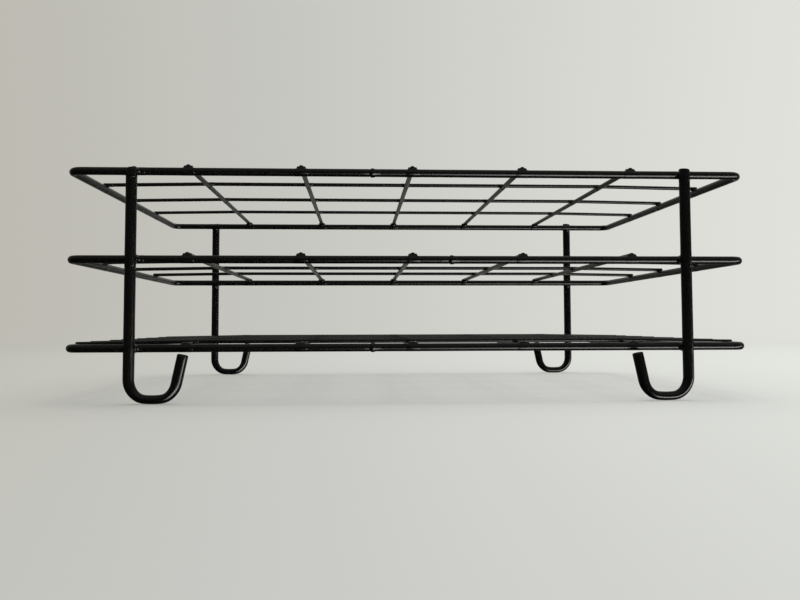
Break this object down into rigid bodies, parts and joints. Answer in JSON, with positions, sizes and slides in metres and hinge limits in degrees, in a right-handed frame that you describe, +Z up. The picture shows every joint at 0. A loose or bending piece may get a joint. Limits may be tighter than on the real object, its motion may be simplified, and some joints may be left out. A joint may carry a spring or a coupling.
{
  "type": "test tube rack",
  "caption": "Three-tier rack of coated steel wire with square places for test tubes, standing on four legs with J-shaped feet.",
  "frame": {"origin": "on the floor under the middle of the rack", "axes": "+X along the rack's length, +Y towards its rear long side, +Z up"},
  "size_m": [0.2144, 0.1484, 0.0746],
  "materials": {
    "black_coat": "satin black epoxy coat over steel wire"
  },
  "bodies": {
    "root": {"bottom_cross_wire_1": "black_coat", "bottom_cross_wire_2": "black_coat", "bottom_cross_wire_3": "black_coat", "bottom_cross_wire_4": "black_coat", "bottom_cross_wire_5": "black_coat", "bottom_hoop": "black_coat", "bottom_long_wire_1": "black_coat", "bottom_long_wire_2": "black_coat", "bottom_long_wire_3": "black_coat", "bottom_long_wire_4": "black_coat", "bottom_long_wire_5": "black_coat", "bottom_long_wire_6": "black_coat", "bottom_long_wire_7": "black_coat", "bottom_long_wire_8": "black_coat", "front_left_leg": "black_coat", "front_right_leg": "black_coat", "middle_cross_wire_1": "black_coat", "middle_cross_wire_2": "black_coat", "middle_cross_wire_3": "black_coat", "middle_cross_wire_4": "black_coat", "middle_cross_wire_5": "black_coat", "middle_hoop": "black_coat", "middle_long_wire_1": "black_coat", "middle_long_wire_2": "black_coat", "middle_long_wire_3": "black_coat", "rear_left_leg": "black_coat", "rear_right_leg": "black_coat", "top_cross_wire_1": "black_coat", "top_cross_wire_2": "black_coat", "top_cross_wire_3": "black_coat", "top_cross_wire_4": "black_coat", "top_cross_wire_5": "black_coat", "top_hoop": "black_coat", "top_long_wire_1": "black_coat", "top_long_wire_2": "black_coat", "top_long_wire_3": "black_coat"}
  },
  "joints": []
}
